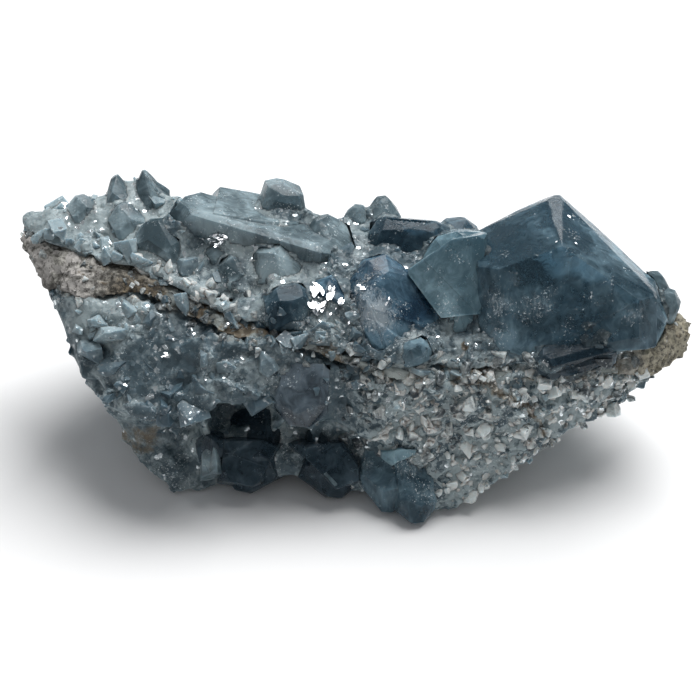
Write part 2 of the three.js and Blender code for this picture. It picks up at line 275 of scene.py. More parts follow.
def crystal_material(name, body, haze, absorbed, depth, clear, veils, shine):
    """A glassy crystal. body is the colour of its faces and haze that of its milky veils. absorbed is the
    colour that light takes inside it and depth how fast, per metre. clear is its transmission, veils how much
    of it is milky, and shine how bright its reflections are, all three from 0 to 1."""
    material, graph, place = new_material(name)
    cloud = graph.noise(place, 9 * mm, 4, 0.55, 0.6)
    wisp = graph.noise(graph.vector("MULTIPLY", place, (1.0, 1.4, 0.45)), 3.0 * mm, 4, 0.62, 1.4)
    root = attribute(graph, "root")
    rim = attribute(graph, "rim")
    # Paler or darker by the listed spots, some of which are painted light and shade.
    tint = attribute(graph, "tint")
    veil = attribute(graph, "veil")
    milky = (cloud + (wisp - 0.5) * 0.9 + root * 0.25 + tint * 0.3).ramp(0.3, 1.1 - 0.3 * veils)
    milky = 0.15 + milky * 0.65
    # Whitish patches along the edges: partly wear, and partly painted highlight where edges catch light.
    wear_and_highlight = rim * graph.noise(place, 1.4 * mm, 4, 0.6).ramp(0.45, 0.62) * 0.12
    feather = (feathers(graph, place, 1.6 * mm) + veil * 0.2).ramp(0.62, 0.88) * (veil * 1.2).low(0.6)
    # The white flecks are partly painted sparkle.
    fleck = sugar_and_sparkle(graph, place, 0.25 + veils * 0.3 + veil * 0.8).high(feather)
    thick = cloud * 0.9 + tint * 0.5
    tone = graph.mix((thick + wisp * 0.4 + root * 0.15).ramp(0.4, 0.95), body, haze)
    milk_tone = graph.mix((thick + wisp * 0.5 + root * 0.3).ramp(0.45, 1.1), body, haze)
    relief = graph.noise(place, 0.7 * mm, 4, 0.6) * 0.4 + graph.noise(place, 3.0 * mm, 2, 0.5)
    glass = graph.surface({
        "Base Color": tone,
        "Roughness": 0.1 + graph.noise(place, 3 * mm, 4, 0.6).ramp(0.35, 0.7) * 0.2,
        "IOR": celestite_ior,
        "Specular Tint": rgb(shine, shine, shine),
        "Transmission Weight": clear,
        "Normal": graph.bump(graph.noise(place, 2.6 * mm, 3), 0.5, 0.3 * mm),
    })
    milk = graph.surface(glow | {
        "Base Color": graph.mix(fleck.high(wear_and_highlight), milk_tone, white_fleck),
        "Roughness": 0.42,
        "Subsurface Weight": 0.8,
        "Subsurface Scale": 2.0 * mm,
        "Normal": graph.bump(relief, 0.4, 0.12 * mm),
    })
    surface = graph.add("ShaderNodeMixShader", None, {0: milky.high(fleck).high(wear_and_highlight), 1: glass, 2: milk})
    inside = graph.add("ShaderNodeVolumeAbsorption", None, {"Color": absorbed, "Density": depth})
    finish_material(graph, surface, Volume=inside)
    return material


def weathered(graph, place, tone):
    """A tone with white flecks, partly painted sparkle, and the rust that the seam has bled into its
    neighbours.
    """
    tone = graph.mix(sugar_and_sparkle(graph, place, 0.6 + attribute(graph, "veil")) * 0.8, tone, white_fleck)
    rust = attribute(graph, "rust") + graph.noise(place, 2.2 * mm, 6, 0.7, 0.6)
    tone = graph.mix(rust.ramp(0.92, 1.25) * 0.75, tone, rgb(0.17, 0.125, 0.07))
    return graph.mix(rust.ramp(1.2, 1.45) * 0.75, tone, rgb(0.055, 0.04, 0.024))


def massive_tone(graph, place, dark, pale):
    """The clouded blues and whites of massive celestite. They change in smaller steps where it is broken."""
    cloud = graph.noise(place, 3.2 * mm, 6, 0.66, 0.3)
    pushed = graph.vector("SCALE", graph.noise(place, 3 * mm).part("Color"), Scale=4 * mm)
    crack = graph.cells(graph.vector("ADD", place, pushed), 4 * mm, feature="DISTANCE_TO_EDGE")
    crack = crack.ramp(0.05, 0.0) * graph.noise(place, 6 * mm).ramp(0.5, 0.6)
    pushed = graph.vector("ADD", place, graph.vector("SCALE", pushed, Scale=0.4))
    bits = graph.red(graph.cells(pushed, 2.2 * mm).part("Color"))
    crumbs = graph.red(graph.cells(pushed, 0.8 * mm).part("Color"))
    level = attribute(graph, "shade") + (cloud - 0.5) * 1.9 - crack * 0.4
    broken = attribute(graph, "broken")
    level = level + (bits - 0.5) * (0.3 + broken * 1.1) + (crumbs - 0.5) * (0.3 + broken * 0.9)
    return weathered(graph, place, graph.mix(level.ramp(0.1, 1.0), dark, pale))


def grain_material(name, dark, pale, clear, cloudy):
    """Small crystals, glassy or milky. Each has its own shade, kept in its attribute, which varies inside a
    crystal by more for a higher cloudy. clear is the transmission of its glassy part."""
    material, graph, place = new_material(name)
    cloud = graph.noise(place, 2.4 * mm, 5, 0.65, 0.8)
    level = attribute(graph, "shade") + (cloud - 0.5) * cloudy
    glint = glints(graph, place, 0.7 * mm, 0.9)
    tone = weathered(graph, place, graph.mix(level.ramp(0.0, 1.1), dark, pale))
    tone = graph.mix(glint, tone, white_fleck)
    glass = graph.surface(glow | {
        "Base Color": tone,
        "Metallic": glint,
        "Roughness": 0.2 + cloud * 0.3,
        "Transmission Weight": clear,
        "Normal": graph.bump(graph.noise(place, 0.5 * mm, 4, 0.6), 0.4, 0.12 * mm),
    })
    milk = graph.surface(glow | {
        "Base Color": tone,
        "Metallic": glint,
        "Roughness": 0.4 - glint * 0.2,
        "Subsurface Weight": 1.0,
        "Subsurface Scale": 1.5 * mm,
        "Normal": facets(graph, place, 0.8, 0.15, 0.6, 0.7),
    })
    milky = 0.4 + (attribute(graph, "shade") * 0.6 + cloud).ramp(0.6, 1.1) * 0.6
    finish_material(graph, graph.add("ShaderNodeMixShader", None, {0: milky, 1: glass, 2: milk}))
    return material


def bed_material(name, dark, pale):
    """The massive celestite of the beds: sugary grains of many shades, with rust near the seam and painted
    shade where the crystals' bases sit on it.
    """
    material, graph, place = new_material(name)
    tone = massive_tone(graph, place, dark, pale)
    # Painted shade: darker where a crystal's base sits on the bed.
    tone = graph.mix(attribute(graph, "socket") * 0.7, tone, rgb(0.03, 0.055, 0.075))
    glossy = graph.red(graph.cells(place, 0.9 * mm).part("Color")) > 0.85
    glint = glints(graph, place, 0.9 * mm, 0.92)
    finish_material(graph, graph.surface(glow | {
        "Base Color": graph.mix(glint, tone, white_fleck),
        "Metallic": glint,
        "Roughness": 0.55 - glossy * 0.35,
        "Specular IOR Level": 0.3,
        "Subsurface Weight": 0.7,
        "Subsurface Scale": 1.4 * mm,
        "Normal": facets(graph, place, 1.2, 0.25, 0.6, 0.8),
    }))
    return material


def rock_material(name):
    """The seam of host rock: grey-brown and gritty, with ochre patches, rusty where it is thin, and with
    painted shade under its left end.
    """
    material, graph, place = new_material(name)
    grit = graph.noise(place, 1.1 * mm, 7, 0.78)
    patch = graph.noise(place, 4 * mm, 5, 0.65, 0.6)
    broad = graph.noise(place, 7 * mm, 4, 0.6, 0.8)
    x, _, z = graph.split(graph.vector("SCALE", place, Scale=1 / mm))
    ochre = patch.ramp(0.56, 0.68)
    left_end = (x + (patch - 0.5) * 14).ramp(-50, -60)
    grey = left_end * patch.ramp(0.4, 0.5) * grit.ramp(0.35, 0.5)
    # Painted shade: the underside of the left end is painted dark.
    shaded_underside = left_end * (z + (patch - 0.5) * 6).ramp(44, 39)
    right_end = x.ramp(58, 62) * grit.ramp(0.38, 0.58)
    brown = (x + (broad - 0.5) * 10).ramp(-56, -48) * x.ramp(-30, -38)
    brown = brown * (z + (patch - 0.5) * 5).ramp(47, 43.5)
    dirt = graph.mix(grit.ramp(0.42, 0.6), rgb(0.03, 0.024, 0.017), rgb(0.2, 0.145, 0.075))
    thin = (x + (broad - 0.5) * 12).ramp(-42, -36) * x.ramp(60, 54)
    crust = (grit + (broad - 0.5) * 0.4).ramp(0.38, 0.66)
    tone = graph.mix(crust, rgb(0.045, 0.042, 0.035), rgb(0.42, 0.41, 0.37))
    for mask, colour in [
        (ochre * 0.6, rgb(0.15, 0.105, 0.055)),
        (grey * 0.8, rgb(0.46, 0.44, 0.42)),
        (shaded_underside * 0.8, rgb(0.05, 0.046, 0.042)),
        (right_end * 0.7, rgb(0.4, 0.365, 0.26)),
        (brown * 0.8, dirt),
        (thin, massive_tone(graph, place, rgb(0.05, 0.06, 0.062), rgb(0.36, 0.4, 0.385))),
    ]:
        tone = graph.mix(mask, tone, colour)
    dent = graph.bump(grit, 0.8, 0.3 * mm)
    finish_material(graph, graph.surface({"Base Color": tone, "Roughness": 0.75, "Normal": dent}))
    return material


slate_glass = crystal_material(
    "slate_glass", rgb(0.045, 0.095, 0.135), rgb(0.17, 0.26, 0.31), rgb(0.3, 0.52, 0.68), 110, 0.75, 0.5, 0.1
)
crest_glass = crystal_material(
    "crest_glass", rgb(0.086, 0.165, 0.22), rgb(0.21, 0.325, 0.39), rgb(0.46, 0.68, 0.79), 44, 0.85, 0.45, 0.1
)
# Dark glass for the crystals low at the front and for the blade in the slit under the crest: their own dark
# blue, made darker still as painted shade.
dark_shaded_glass = crystal_material(
    "dark_shaded_glass", rgb(0.03, 0.06, 0.085), rgb(0.09, 0.13, 0.16), rgb(0.25, 0.45, 0.6), 140, 0.75, 0.2, 0.05
)
blue_glass = crystal_material(
    "blue_glass", rgb(0.025, 0.09, 0.165), rgb(0.18, 0.31, 0.4), rgb(0.22, 0.52, 0.75), 70, 0.85, 0.5, 0.4
)
pale_glass = crystal_material(
    "pale_glass", rgb(0.11, 0.17, 0.2), rgb(0.31, 0.4, 0.435), rgb(0.5, 0.68, 0.78), 70, 0.7, 0.8, 0.3
)
teal_glass = crystal_material(
    "teal_glass", rgb(0.11, 0.22, 0.28), rgb(0.28, 0.42, 0.48), rgb(0.5, 0.72, 0.82), 40, 0.65, 0.6, 0.3
)
grey_glass = crystal_material(
    "grey_glass", rgb(0.05, 0.075, 0.1), rgb(0.17, 0.22, 0.26), rgb(0.4, 0.55, 0.68), 100, 0.75, 0.5, 0.5
)
fragment_glass = grain_material("fragment_glass", rgb(0.04, 0.055, 0.065), rgb(0.62, 0.66, 0.65), 0.4, 2.8)
druse_glass = grain_material("druse_glass", rgb(0.07, 0.12, 0.155), rgb(0.29, 0.365, 0.395), 0.5, 1.5)
massive = bed_material("massive_celestite", rgb(0.06, 0.095, 0.115), rgb(0.3, 0.36, 0.375))
rock = rock_material("host_rock")


# ---------------------------------------------------------------- modelling

weld = 0.002 * mm
nearly_flat = math.radians(1)
rim_angle = math.radians(25)
crystal_smoothing = 12
bed_smoothing = 25
largest_faces = 7
face_groups = 5
step_border = 0.22 * mm
narrow_face = 0.6 * mm


def only(piece):
    """Selects that piece alone."""
    bpy.ops.object.select_all(action="DESELECT")
    piece.select_set(True)
    bpy.context.view_layer.objects.active = piece


def smooth(piece, angle):
    """Smooth shading, with the edges sharper than that many degrees kept."""
    only(piece)
    bpy.ops.object.shade_smooth_by_angle(angle=math.radians(angle))


def linked(name, mesh):
    """A new object with that mesh."""
    piece = bpy.data.objects.new(name, mesh)
    bpy.context.scene.collection.objects.link(piece)
    return piece


def joined(pieces, name):
    """One piece from several, selected alone."""
    only(pieces[0])
    for piece in pieces:
        piece.select_set(True)
    if len(pieces) > 1:
        bpy.ops.object.join()
    piece = bpy.context.object
    piece.name = name
    return piece


def apply_modifier(piece, kind, **settings):
    only(piece)
    modifier = piece.modifiers.new(kind.lower(), kind)
    for key, value in settings.items():
        setattr(modifier, key, value)
    bpy.ops.object.modifier_apply(modifier=modifier.name)


def solid_copy(nodes, name):
    """One new piece from copies of CAD nodes, with its corners merged and its flat faces whole."""
    piece = joined([linked(name, frame["nodes"][node].data.copy()) for node in nodes], name)
    piece.data.name = name
    piece.data.materials.clear()
    bpy.ops.object.mode_set(mode="EDIT")
    bpy.ops.mesh.select_all(action="SELECT")
    bpy.ops.mesh.remove_doubles(threshold=weld)
    bpy.ops.mesh.customdata_custom_splitnormals_clear()
    bpy.ops.mesh.faces_shade_flat()
    bpy.ops.object.mode_set(mode="OBJECT")
    return piece


def split_long_edges(piece, longest, rounds=7):
    """Splits edges until none is longer, so that every facet stays flat and every edge straight. Each round
    halves the long ones."""
    only(piece)
    bpy.ops.object.mode_set(mode="EDIT")
    bpy.ops.mesh.select_mode(type="EDGE")
    for _ in range(rounds):
        bpy.ops.mesh.select_all(action="SELECT")
        bpy.ops.mesh.quads_convert_to_tris(quad_method="BEAUTY", ngon_method="BEAUTY")
        bpy.ops.mesh.beautify_fill(angle_limit=nearly_flat)
        mesh = bmesh.from_edit_mesh(piece.data)
        for edge in mesh.edges:
            edge.select = edge.calc_length() > longest
        long_edges = sum(edge.select for edge in mesh.edges)
        mesh.select_flush_mode()
        bmesh.update_edit_mesh(piece.data)
        if not long_edges:
            break
        bpy.ops.mesh.subdivide(number_cuts=1)
    bpy.ops.mesh.select_all(action="SELECT")
    bpy.ops.mesh.quads_convert_to_tris(quad_method="BEAUTY", ngon_method="BEAUTY")
    bpy.ops.object.mode_set(mode="OBJECT")


def block(name, size, **place):
    """A new box, left in edit mode."""
    bpy.ops.object.select_all(action="DESELECT")
    bpy.ops.mesh.primitive_cube_add(size=1.0, **place)
    piece = bpy.context.object
    piece.name = name
    bpy.ops.object.mode_set(mode="EDIT")
    bpy.ops.mesh.select_all(action="SELECT")
    bpy.ops.transform.resize(value=size)
    return piece


def cut_off(place, way, threshold=tolerance):
    """Cuts the piece in edit mode by a plane and closes it. What lies beyond the plane goes."""
    bpy.ops.mesh.select_all(action="SELECT")
    bpy.ops.mesh.bisect(plane_co=place, plane_no=way, use_fill=True, clear_outer=True, threshold=threshold)


def furthest(piece, way):
    """How far the piece in edit mode reaches along that way."""
    return max(vertex.co.dot(way) for vertex in bmesh.from_edit_mesh(piece.data).verts)


def chip(piece, draw, count, depth):
    """Breaks small flats off the corners of a crystal, each at most that deep."""
    only(piece)
    bpy.ops.object.mode_set(mode="EDIT")
    for _ in range(count):
        way = Vector((draw.uniform(-1, 1), draw.uniform(-1, 1), draw.uniform(-0.2, 1))).normalized()
        mesh = bmesh.from_edit_mesh(piece.data)
        corner = max((vertex.co for vertex in mesh.verts), key=lambda place: place.dot(way)).copy()
        cut_off(corner - way * (draw.uniform(0.3, 1.0) * depth), way)
    bpy.ops.object.mode_set(mode="OBJECT")


def cleave(piece, draw, cuts, rise):
    """Splits a crystal's faces along planes that lie about as its own faces do, and steps the parts up or
    down by at most that rise."""
    only(piece)
    bpy.ops.object.mode_set(mode="EDIT")
    bpy.ops.mesh.select_mode(type="FACE")
    bpy.ops.mesh.select_all(action="SELECT")
    bpy.ops.mesh.dissolve_limited(angle_limit=nearly_flat)
    mesh = bmesh.from_edit_mesh(piece.data)
    faces = sorted(mesh.faces, key=lambda face: face.calc_area(), reverse=True)[:largest_faces]
    planes = []
    for _ in range(cuts):
        face = draw.choice(faces)
        reach = [vertex.co.dot(face.normal) for vertex in mesh.verts]
        depth = max(reach) - min(reach)
        centre = face.calc_center_median() - face.normal * depth * draw.uniform(0.12, 0.85)
        lean = Vector([draw.uniform(-0.12, 0.12) for _ in range(3)])
        planes.append((centre, (face.normal + lean).normalized()))
    for place, way in planes:
        bpy.ops.mesh.select_all(action="SELECT")
        bpy.ops.mesh.bisect(plane_co=place, plane_no=way, threshold=tolerance)
    mesh = bmesh.from_edit_mesh(piece.data)
    group = mesh.faces.layers.int.new("group")
    for face in mesh.faces:
        narrow = face.calc_area() < face.calc_perimeter() * narrow_face
        face[group] = -1 if narrow else draw.randrange(face_groups)
    steps = [draw.uniform(-1, -0.3), draw.uniform(0.3, 1), draw.uniform(-0.3, 0.3)]
    for number, step in enumerate(steps):
        mesh = bmesh.from_edit_mesh(piece.data)
        group = mesh.faces.layers.int["group"]
        for face in mesh.faces:
            face.select_set(face[group] == number)
        bmesh.update_edit_mesh(piece.data)
        bpy.ops.mesh.inset(thickness=step_border, depth=step * rise)
    bpy.ops.object.mode_set(mode="OBJECT")


def geometry_graph(name):
    """An empty geometry graph and the geometry that comes into it."""
    tree = bpy.data.node_groups.new(name, "GeometryNodeTree")
    tree.interface.new_socket("Geometry", in_out="INPUT", socket_type="NodeSocketGeometry")
    tree.interface.new_socket("Geometry", in_out="OUTPUT", socket_type="NodeSocketGeometry")
    graph = Graph(tree)
    return graph, graph.add("NodeGroupInput")


def apply_graph(piece, graph, geometry):
    """Ends the graph with that geometry and applies it to the piece."""
    graph.add("NodeGroupOutput", None, {0: geometry})
    apply_modifier(piece, "NODES", node_group=graph.tree)


def place_mm(graph):
    """The place of a point in millimetres, and its three coordinates."""
    place = graph.vector("SCALE", graph.add("GeometryNodeInputPosition"), Scale=1 / mm)
    return place, *graph.split(place)


def distance_mm(graph, target):
    """How far a point is from the surface of another object, in millimetres."""
    shape = graph.add("GeometryNodeObjectInfo", None, {"Object": target}).part("Geometry")
    return graph.add("GeometryNodeProximity", {"target_element": "FACES"}, {0: shape}).part("Distance") / mm


def above_table(graph, geometry):
    """Keeps every point at or above the surface that the specimen lies on."""
    x, y, z = graph.split(graph.add("GeometryNodeInputPosition"))
    held = graph.add("ShaderNodeCombineXYZ", None, {0: x, 1: y, 2: z.high(0.0)})
    return graph.add("GeometryNodeSetPosition", None, {"Geometry": geometry, "Position": held})


# Where the specimen is darker or paler than around: x, y, z and radius in millimetres, and by how much.
# Most rows are its own tone, and some are painted light and shade: shade in the hollow under the blade and on
# the crest's upper faces, and light on the blade's front, which the key light misses.
tints_and_painted_light = [
    (-62, 10, 51, 5, 0.6), (-41, 0, 53, 6, -0.7), (-42, 8, 52, 3, 0.4), (-24, 7, 55, 14, 0.25),
    # (-31, 0, 55) and (-24, -2, 52) are painted light on the blade's front; (-33, -1, 50) and (-25, -6, 47)
    # painted shade under it.
    (-15, 6, 56, 5, -0.8), (-31, 0, 55, 5, 0.7), (-24, -2, 52, 5, 0.7), (-33, -1, 50, 3, -0.6),
    (-25, -6, 47, 3, -0.6), (-37, -13, 46, 6, 0.25), (-18, -8, 48, 6, 0.1), (-16, -17, 43, 7, -0.5),
    (-55, -12, 41, 7, 0.35), (-46, -13, 42, 5, 0.25), (-46, -20, 34, 8, -0.25), (-35, -22, 36, 4, -0.6),
    (-30, -24, 34, 3, 0.25), (-22, -24, 34, 4, 0.3), (-50, -26, 27, 8, 0.15), (-7, -17, 40, 6, 0.3),
    (-7, -5, 50, 6, 0.1), (20, -10, 45, 10, 0.1), (13, -14, 41, 6, -0.6), (10, 0, 50, 8, -0.5),
    # (31, -8, 54), (45, -4, 57) and the next line's (38, -11, 53) are painted shade on the crest's upper
    # faces.
    (57, -5, 49, 6, 0.5), (45, -16, 45, 8, -0.4), (31, -8, 54, 9, -0.7), (45, -4, 57, 8, -0.5),
    (38, -11, 53, 7, -0.5), (56, -9, 48, 6, 0.2), (23, -2, 55, 4, -0.8), (18, -11, 46, 8, 0.2),
    (10, -26, 22, 7, 0.1), (18, -25, 28, 6, 0.15), (26, -29, 8, 12, 0.8), (34, -27, 13, 6, 0.3),
    (46, -21, 36, 8, -1.0), (-62, 6, 50, 6, 0.3), (38, -24, 20, 8, 0.25), (26, -26, 19, 5, 0.25),
    (20, -12, 40, 5, 0.7), (-17, -8, 49, 6, 0.4), (-35, -22, 12, 4, 0.5),
]

# Where it is full of white veils and flecks, in the same way.
veiled_places = [
    (-62, 10, 51, 5, 0.5), (-40, 8, 51, 4, 0.4), (-14, 6, 57, 5, 0.5), (-35, -11, 47, 6, 0.5),
    (-18, -8, 49, 7, 0.25), (-11, -17, 43, 4, 0.6), (-7, -16, 42, 6, 0.7), (3, -14, 46, 6, 1.0),
    (4, -16, 42, 5, 0.8), (7, -15, 43, 5, 0.7), (-1, -17, 40, 4, 0.8), (12, -18, 36, 4, 0.5),
    (17, -19, 38, 3, 1.0), (29, -16, 46, 5, 1.0), (33, -14, 50, 3, 0.9), (37, -16, 45, 6, 0.9),
    (30, -18, 41, 5, 0.6), (41, -16, 49, 3, 0.6), (44, -17, 42, 5, 0.35), (58, -15, 43, 4, 1.0),
    (57, -4, 50, 4, 0.4), (20, -12, 40, 4, 0.8), (10, -26, 24, 7, 0.5), (20, -26, 22, 8, 0.5),
    (36, -24, 24, 8, 0.5), (26, -29, 8, 7, 0.4), (-8, -29, 26, 4, 0.3), (0, -8, 48, 5, 0.6),
    (2, -15, 44, 7, 0.4), (6, -17, 40, 6, 0.4), (-28, 1, 53, 6, 0.5), (-18, -1, 53, 5, 0.5),
    (18, -12, 43, 5, 0.4), (26, -27, 20, 12, 0.35), (16, -33, 8, 5, 0.7), (11, -30, 12, 4, 0.9),
    (3, -28, 11, 3, 0.7),
]


def near(graph, place, middle, outer, inner):
    """1 within the inner distance from the middle, and 0 outside the outer one."""
    return graph.vector("DISTANCE", place, middle).part("Value").ramp(outer, inner)


def spots(graph, place, rows):
    """The sum of soft irregular spots at those places."""
    place = warped(graph, place, 5.0)
    total = 0.0
    for x, y, z, radius, amount in rows:
        total = total + near(graph, place, (x, y, z), radius, radius * 0.3) * amount
    return total


def paleness(graph, place, x, y, z, bed):
    """How pale the massive celestite and its druse are, from 0, slate blue, to 1, sugary white. Some of the
    spots it adds are painted light and shade.
    """
    cloud = graph.noise(place, 11, 4, 0.6, 0.4).ramp(0.25, 0.75)
    front = y.ramp(-2, -14)
    if bed == beds[0]:
        zone = x.ramp(-22, -50) * 0.35 + x.ramp(0, -22) * 0.2 - x.ramp(20, 30) * 0.1
    else:
        broken_face = x.ramp(2, 12) * z.ramp(4, 12) * 0.3
        blue_druse = x.ramp(-10, -18) * z.ramp(22, 27) * 0.12
        under_seam = x.ramp(-38, -46) * z.ramp(32, 36) * 0.3
        zone = front * (broken_face - blue_druse + under_seam)
        contrast = (graph.noise(place, 6, 4, 0.7, 1.0).ramp(0.4, 0.58) - 0.42) * 3.6
        zone = zone + broken_face * front * contrast
    return cloud * 0.5 + 0.15 + zone + spots(graph, place, tints_and_painted_light)


def rustiness(graph, place, x, y, z):
    """How far rust has bled in from the seam, from 0 to 1, and along a vein in the broken face."""
    warp = (graph.noise(place, 4, 3) - 0.5) * 3
    bend = (x - 32.0).high(0.0)
    vein = z - 31.8 + (x - 23.4) * 0.44 + bend * bend * 0.09 + warp
    vein = vein.math("ABSOLUTE", vein).ramp(2.4, 0.4) * y.ramp(-12, -16) * x.ramp(21, 24) * z.ramp(10, 14)
    spot = near(graph, warped(graph, place, 2.5), (23.3, -18.4, 36.4), 1.8, 0.5)
    foot = near(graph, warped(graph, place, 5.0), (-47.0, -19.0, 12.0), 9.0, 3.0)
    rust = (distance_mm(graph, seam_copy).ramp(2.0, 0.2) * 0.5).high(vein * 0.68)
    return rust.high(spot * 0.85).high(foot * 0.6)


def keep(graph, geometry, name, value, domain="POINT"):
    """Stores a value on the geometry as a named attribute."""
    return graph.add(
        "GeometryNodeStoreNamedAttribute",
        {"data_type": "FLOAT", "domain": domain},
        {"Geometry": geometry, "Name": name, "Value": value},
    )


def keep_tones(graph, geometry, place, shade, rust):
    """Keeps what the materials of the beds, the seam and the grains read."""
    geometry = keep(graph, keep(graph, geometry, "shade", shade), "rust", rust)
    return keep(graph, geometry, "veil", spots(graph, place, veiled_places))


def roughen(piece, height_of):
    """Moves the points of a piece along their normals by a height in millimetres, worked out by the graph."""
    graph, geometry = geometry_graph(piece.name + "_relief")
    place, x, y, z = place_mm(graph)
    height = height_of(graph, place, x, y, z) * z.ramp(0.3, 1.5)
    offset = graph.vector("SCALE", graph.add("GeometryNodeInputNormal"), Scale=height * mm)
    moved = graph.add("GeometryNodeSetPosition", None, {"Geometry": geometry, "Offset": offset})
    apply_graph(piece, graph, above_table(graph, moved))


def drop_crumbs(piece, least):
    """Deletes the loose bits of a piece that have fewer faces than that."""
    graph, geometry = geometry_graph(piece.name + "_crumbs")
    one_each = {"Value": 1, "Group Index": graph.add("GeometryNodeInputMeshIsland")}
    count = graph.add("GeometryNodeAccumulateField", {"data_type": "INT", "domain": "FACE"}, one_each)
    small = {"Geometry": geometry, "Selection": count.part("Total") < least}
    apply_graph(piece, graph, graph.add("GeometryNodeDeleteGeometry", {"domain": "FACE"}, small))


def dress(piece, material, nodes=()):
    """Gives a finished piece its material and its body, and hides the CAD nodes that it stands for."""
    piece.data.materials.clear()
    piece.data.materials.append(material)
    piece.data.polygons.foreach_set("material_index", [0] * len(piece.data.polygons))
    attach(piece, "root")
    if nodes:
        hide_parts(*nodes)


# ---------------------------------------------------------------- crystals

slots = {row["node"]: row["material_slot"] for row in frame["record"]["subparts"]}
crystal_nodes = sorted(node for node, slot in slots.items() if slot in ("slate_celestite", "pale_celestite"))
beds = ["upper_crystal_bed", "lower_crystal_bed"]
seam = "host_rock_seam"
meeting_mm = 0.12
short_crystal = 30 * mm
length_per_cut = 12 * mm


def crystal_height(graph, place, x, y, z):
    """Very shallow growth plates on a crystal's faces, in millimetres. They stand out by about as much as it
    takes to meet the neighbours."""
    return (graph.noise(place, 6.0, 3, 0.55) - 0.5) * 0.3 + meeting_mm


def add_crystal_marks(piece):
    """Keeps how near each point is to the beds, from 1 at their surface to 0 away from it, as root, how much
    paler it is, partly as painted light and shade, and how full of veils it is, as tint and veil, and 1 on
    the crystal's edges, as rim."""
    graph, geometry = geometry_graph(piece.name + "_marks")
    place = place_mm(graph)[0]
    geometry = keep(graph, geometry, "root", distance_mm(graph, all_beds).ramp(5, 0.2))
    geometry = keep(graph, geometry, "tint", spots(graph, place, tints_and_painted_light))
    geometry = keep(graph, geometry, "veil", spots(graph, place, veiled_places))
    sharp = graph.add("GeometryNodeInputMeshEdgeAngle") > rim_angle
    on_edges = graph.add("GeometryNodeFieldOnDomain", {"data_type": "BOOLEAN", "domain": "EDGE"}, {0: sharp})
    apply_graph(piece, graph, keep(graph, geometry, "rim", on_edges))


def finish_crystal(piece, longest, material, nodes=()):
    """Relief, marks, shading and material for a crystal, whose edges are split until none is longer."""
    split_long_edges(piece, longest)
    roughen(piece, crystal_height)
    add_crystal_marks(piece)
    smooth(piece, crystal_smoothing)
    dress(piece, material, nodes)


all_beds = solid_copy(beds + [seam], "all_beds")
all_crystals = solid_copy(crystal_nodes, "all_crystals")
seam_copy = solid_copy([seam], "seam_copy")
glasses = {
    "crest_crystals": crest_glass,
    "deep_blue_crystal": blue_glass,
    "mirror_crystal": blue_glass,
    "blade_crystals": pale_glass,
    "lower_left_crystals": dark_shaded_glass,
    "lower_middle_crystal": dark_shaded_glass,
    "hanging_crystal": grey_glass,
    "pale_broad_crystal": teal_glass,
    "seam_blade_crystal": dark_shaded_glass,
}
# How many corners are broken off a crystal, and how deep as a share of its length.
usual_wear = (6, 0.02)
wear = {
    "blade_crystals": (18, 0.03),
    "deep_blue_crystal": (9, 0.04),
    "layered_block_crystal": (10, 0.04),
    "dark_block_crystal": (10, 0.05),
    "hanging_crystal": (7, 0.035),
    "seam_bead_crystal": (10, 0.05),
}

for node in crystal_nodes:
    low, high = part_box(node)
    length = (high - low).length
    piece = solid_copy([node], node + "_facets")
    draw = random.Random(node)
    chips, depth = wear.get(node, usual_wear)
    chip(piece, draw, chips, depth * length)
    short = length < short_crystal
    rise = 0.4 if node == "deep_blue_crystal" else 0.15 if short else 0.08
    cleave(piece, draw, 3 + int(length / length_per_cut), rise * mm)
    plain = slate_glass if slots[node] == "slate_celestite" else pale_glass
    finish_crystal(piece, (0.7 if short else 0.9) * mm, glasses.get(node, plain), [node])


# ---------------------------------------------------------------- small crystals

def small_crystal(name, size, draw):
    """A small broken block about one unit long, with the slopes of a chisel-shaped tip at its top."""
    grain = block(name, size)
    slopes = [((1, 0, 1), 0.34), ((-1, 0, 1), 0.34), ((0, 1, 1), 0.3), ((0, -1, 1), 0.3)]
    breaks = [((draw.uniform(-1, 1), draw.uniform(-1, 1), draw.uniform(-0.1, 1)), 0.13) for _ in range(6)]
    for way, depth in slopes + breaks:
        way = Vector(way) + Vector([draw.uniform(-0.3, 0.3) for _ in range(3)])
        way.normalize()
        cut_off(way * (furthest(grain, way) - depth * draw.uniform(0.6, 1.3)), way, unit_tolerance)
    bpy.ops.object.mode_set(mode="OBJECT")
    for owner in grain.users_collection:
        owner.objects.unlink(grain)
    prototypes.objects.link(grain)


prototypes = bpy.data.collections.new("prototypes")
bpy.context.scene.collection.children.link(prototypes)
draw = random.Random(7)
for number, size in enumerate([
    (0.62, 0.5, 1.0), (0.8, 0.7, 0.9), (0.95, 0.35, 0.9), (0.75, 0.6, 1.0), (0.9, 0.8, 0.8), (0.5, 0.3, 1.0),
    (1.0, 0.6, 0.7), (0.55, 0.55, 1.0), (0.9, 0.5, 0.9), (0.7, 0.65, 0.95),
]):
    small_crystal("block_%d" % number, size, draw)


